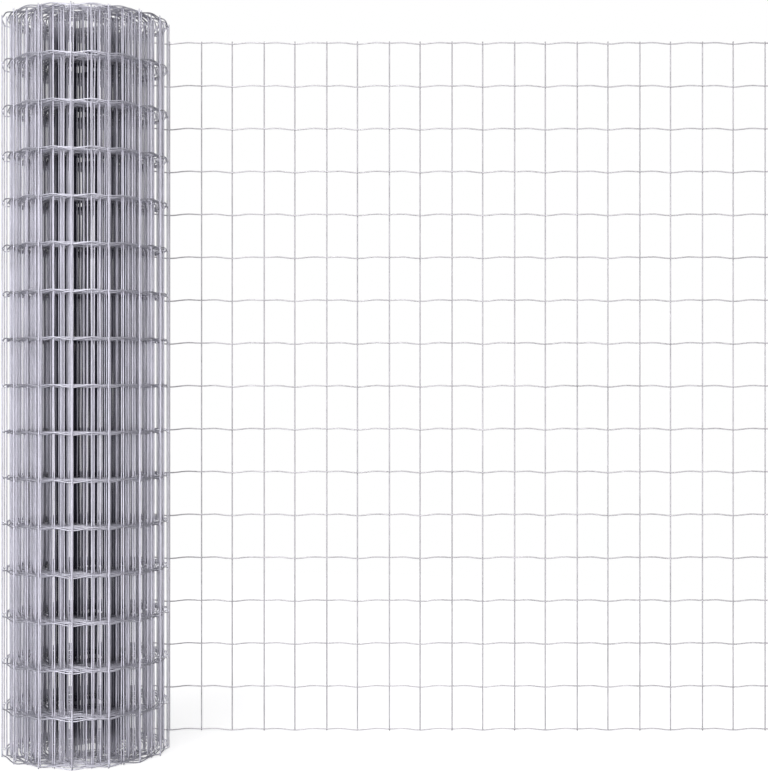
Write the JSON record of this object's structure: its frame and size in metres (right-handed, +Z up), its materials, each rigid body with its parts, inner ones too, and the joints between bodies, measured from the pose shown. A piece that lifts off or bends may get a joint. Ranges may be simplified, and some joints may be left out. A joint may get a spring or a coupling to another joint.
{
  "type": "roll of wire fencing",
  "caption": "Roll of galvanised welded wire fencing standing on its end, with its free end unrolled into a flat run of open mesh beside it.",
  "frame": {"origin": "on the roll's axis, at the floor that the roll stands on", "axes": "+Z up along the roll's axis; +X along the unrolled mesh, away from the roll; the unrolled mesh is tangent to the roll on the +Y side"},
  "size_m": [1.3771, 0.2799, 1.2262],
  "materials": {
    "galvanised_wire": "bright hot-dip zinc, slightly uneven"
  },
  "bodies": {
    "root": {"wound_roll": "galvanised_wire", "unrolled_mesh": "galvanised_wire"}
  },
  "joints": []
}
